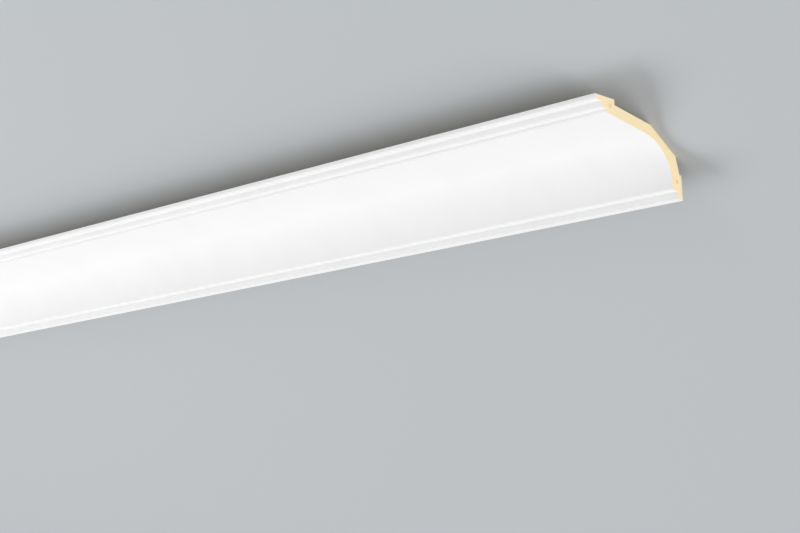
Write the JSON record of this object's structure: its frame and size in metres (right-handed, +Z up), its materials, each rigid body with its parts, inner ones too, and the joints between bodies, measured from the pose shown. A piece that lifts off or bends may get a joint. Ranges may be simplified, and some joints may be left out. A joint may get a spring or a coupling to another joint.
{
  "type": "cove moulding",
  "caption": "Straight length of lightweight foam cornice with a deep cove between a stepped ceiling edge and a small wall lip, ends cut square.",
  "frame": {"origin": "centre of the bounding box's bottom, under the middle of the length, on the surface it lies on", "axes": "+X along the length towards the sawn end that the picture shows, +Y towards the ceiling edge, +Z up from the flat in the middle of the back that it lies on, so the face looks up"},
  "size_m": [2, 0.1742, 0.0402],
  "materials": {
    "primed_foam": "smooth matt white primer on the face, bare cream foam on the sawn ends and the back"
  },
  "bodies": {
    "root": {"cove_moulding": "primed_foam"}
  },
  "joints": []
}
